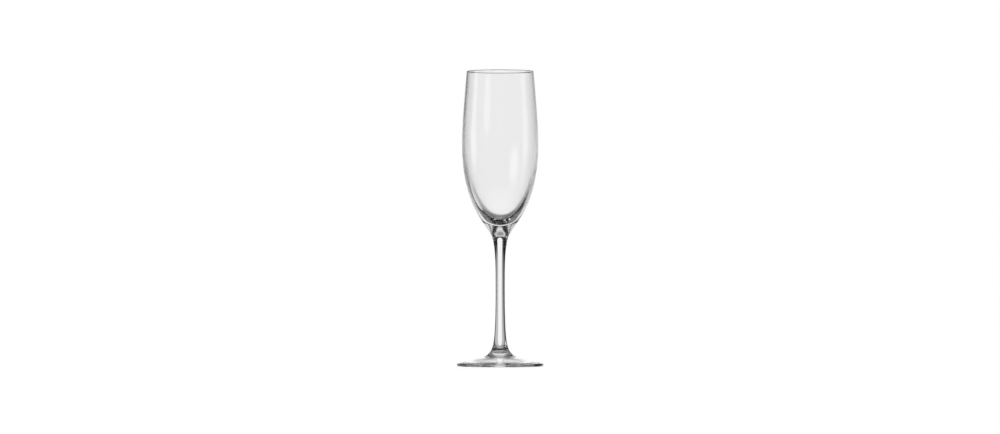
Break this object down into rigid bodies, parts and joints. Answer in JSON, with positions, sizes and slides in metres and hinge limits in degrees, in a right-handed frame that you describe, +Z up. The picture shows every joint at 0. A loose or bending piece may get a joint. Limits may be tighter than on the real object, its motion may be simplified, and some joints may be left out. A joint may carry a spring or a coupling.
{
  "type": "champagne flute",
  "caption": "Tall stemmed glass for sparkling wine: a slim tapering bowl on a drawn stem and a low conical foot that rests on its outer ring.",
  "frame": {"origin": "centre of the resting plane, on the flute's axis", "axes": "+Z up along the flute's axis from the foot to the rim; X and Y are interchangeable, as the flute is turned"},
  "size_m": [0.0664, 0.0664, 0.225],
  "materials": {
    "bowl_glass": "clear blown crystalline glass, fire-polished lip",
    "stem_glass": "clear drawn crystalline glass, fire-polished",
    "foot_glass": "clear spun crystalline glass, fire-polished, faint rings from spinning"
  },
  "bodies": {
    "root": {"bowl": "bowl_glass", "stem": "stem_glass", "foot": "foot_glass"}
  },
  "joints": []
}
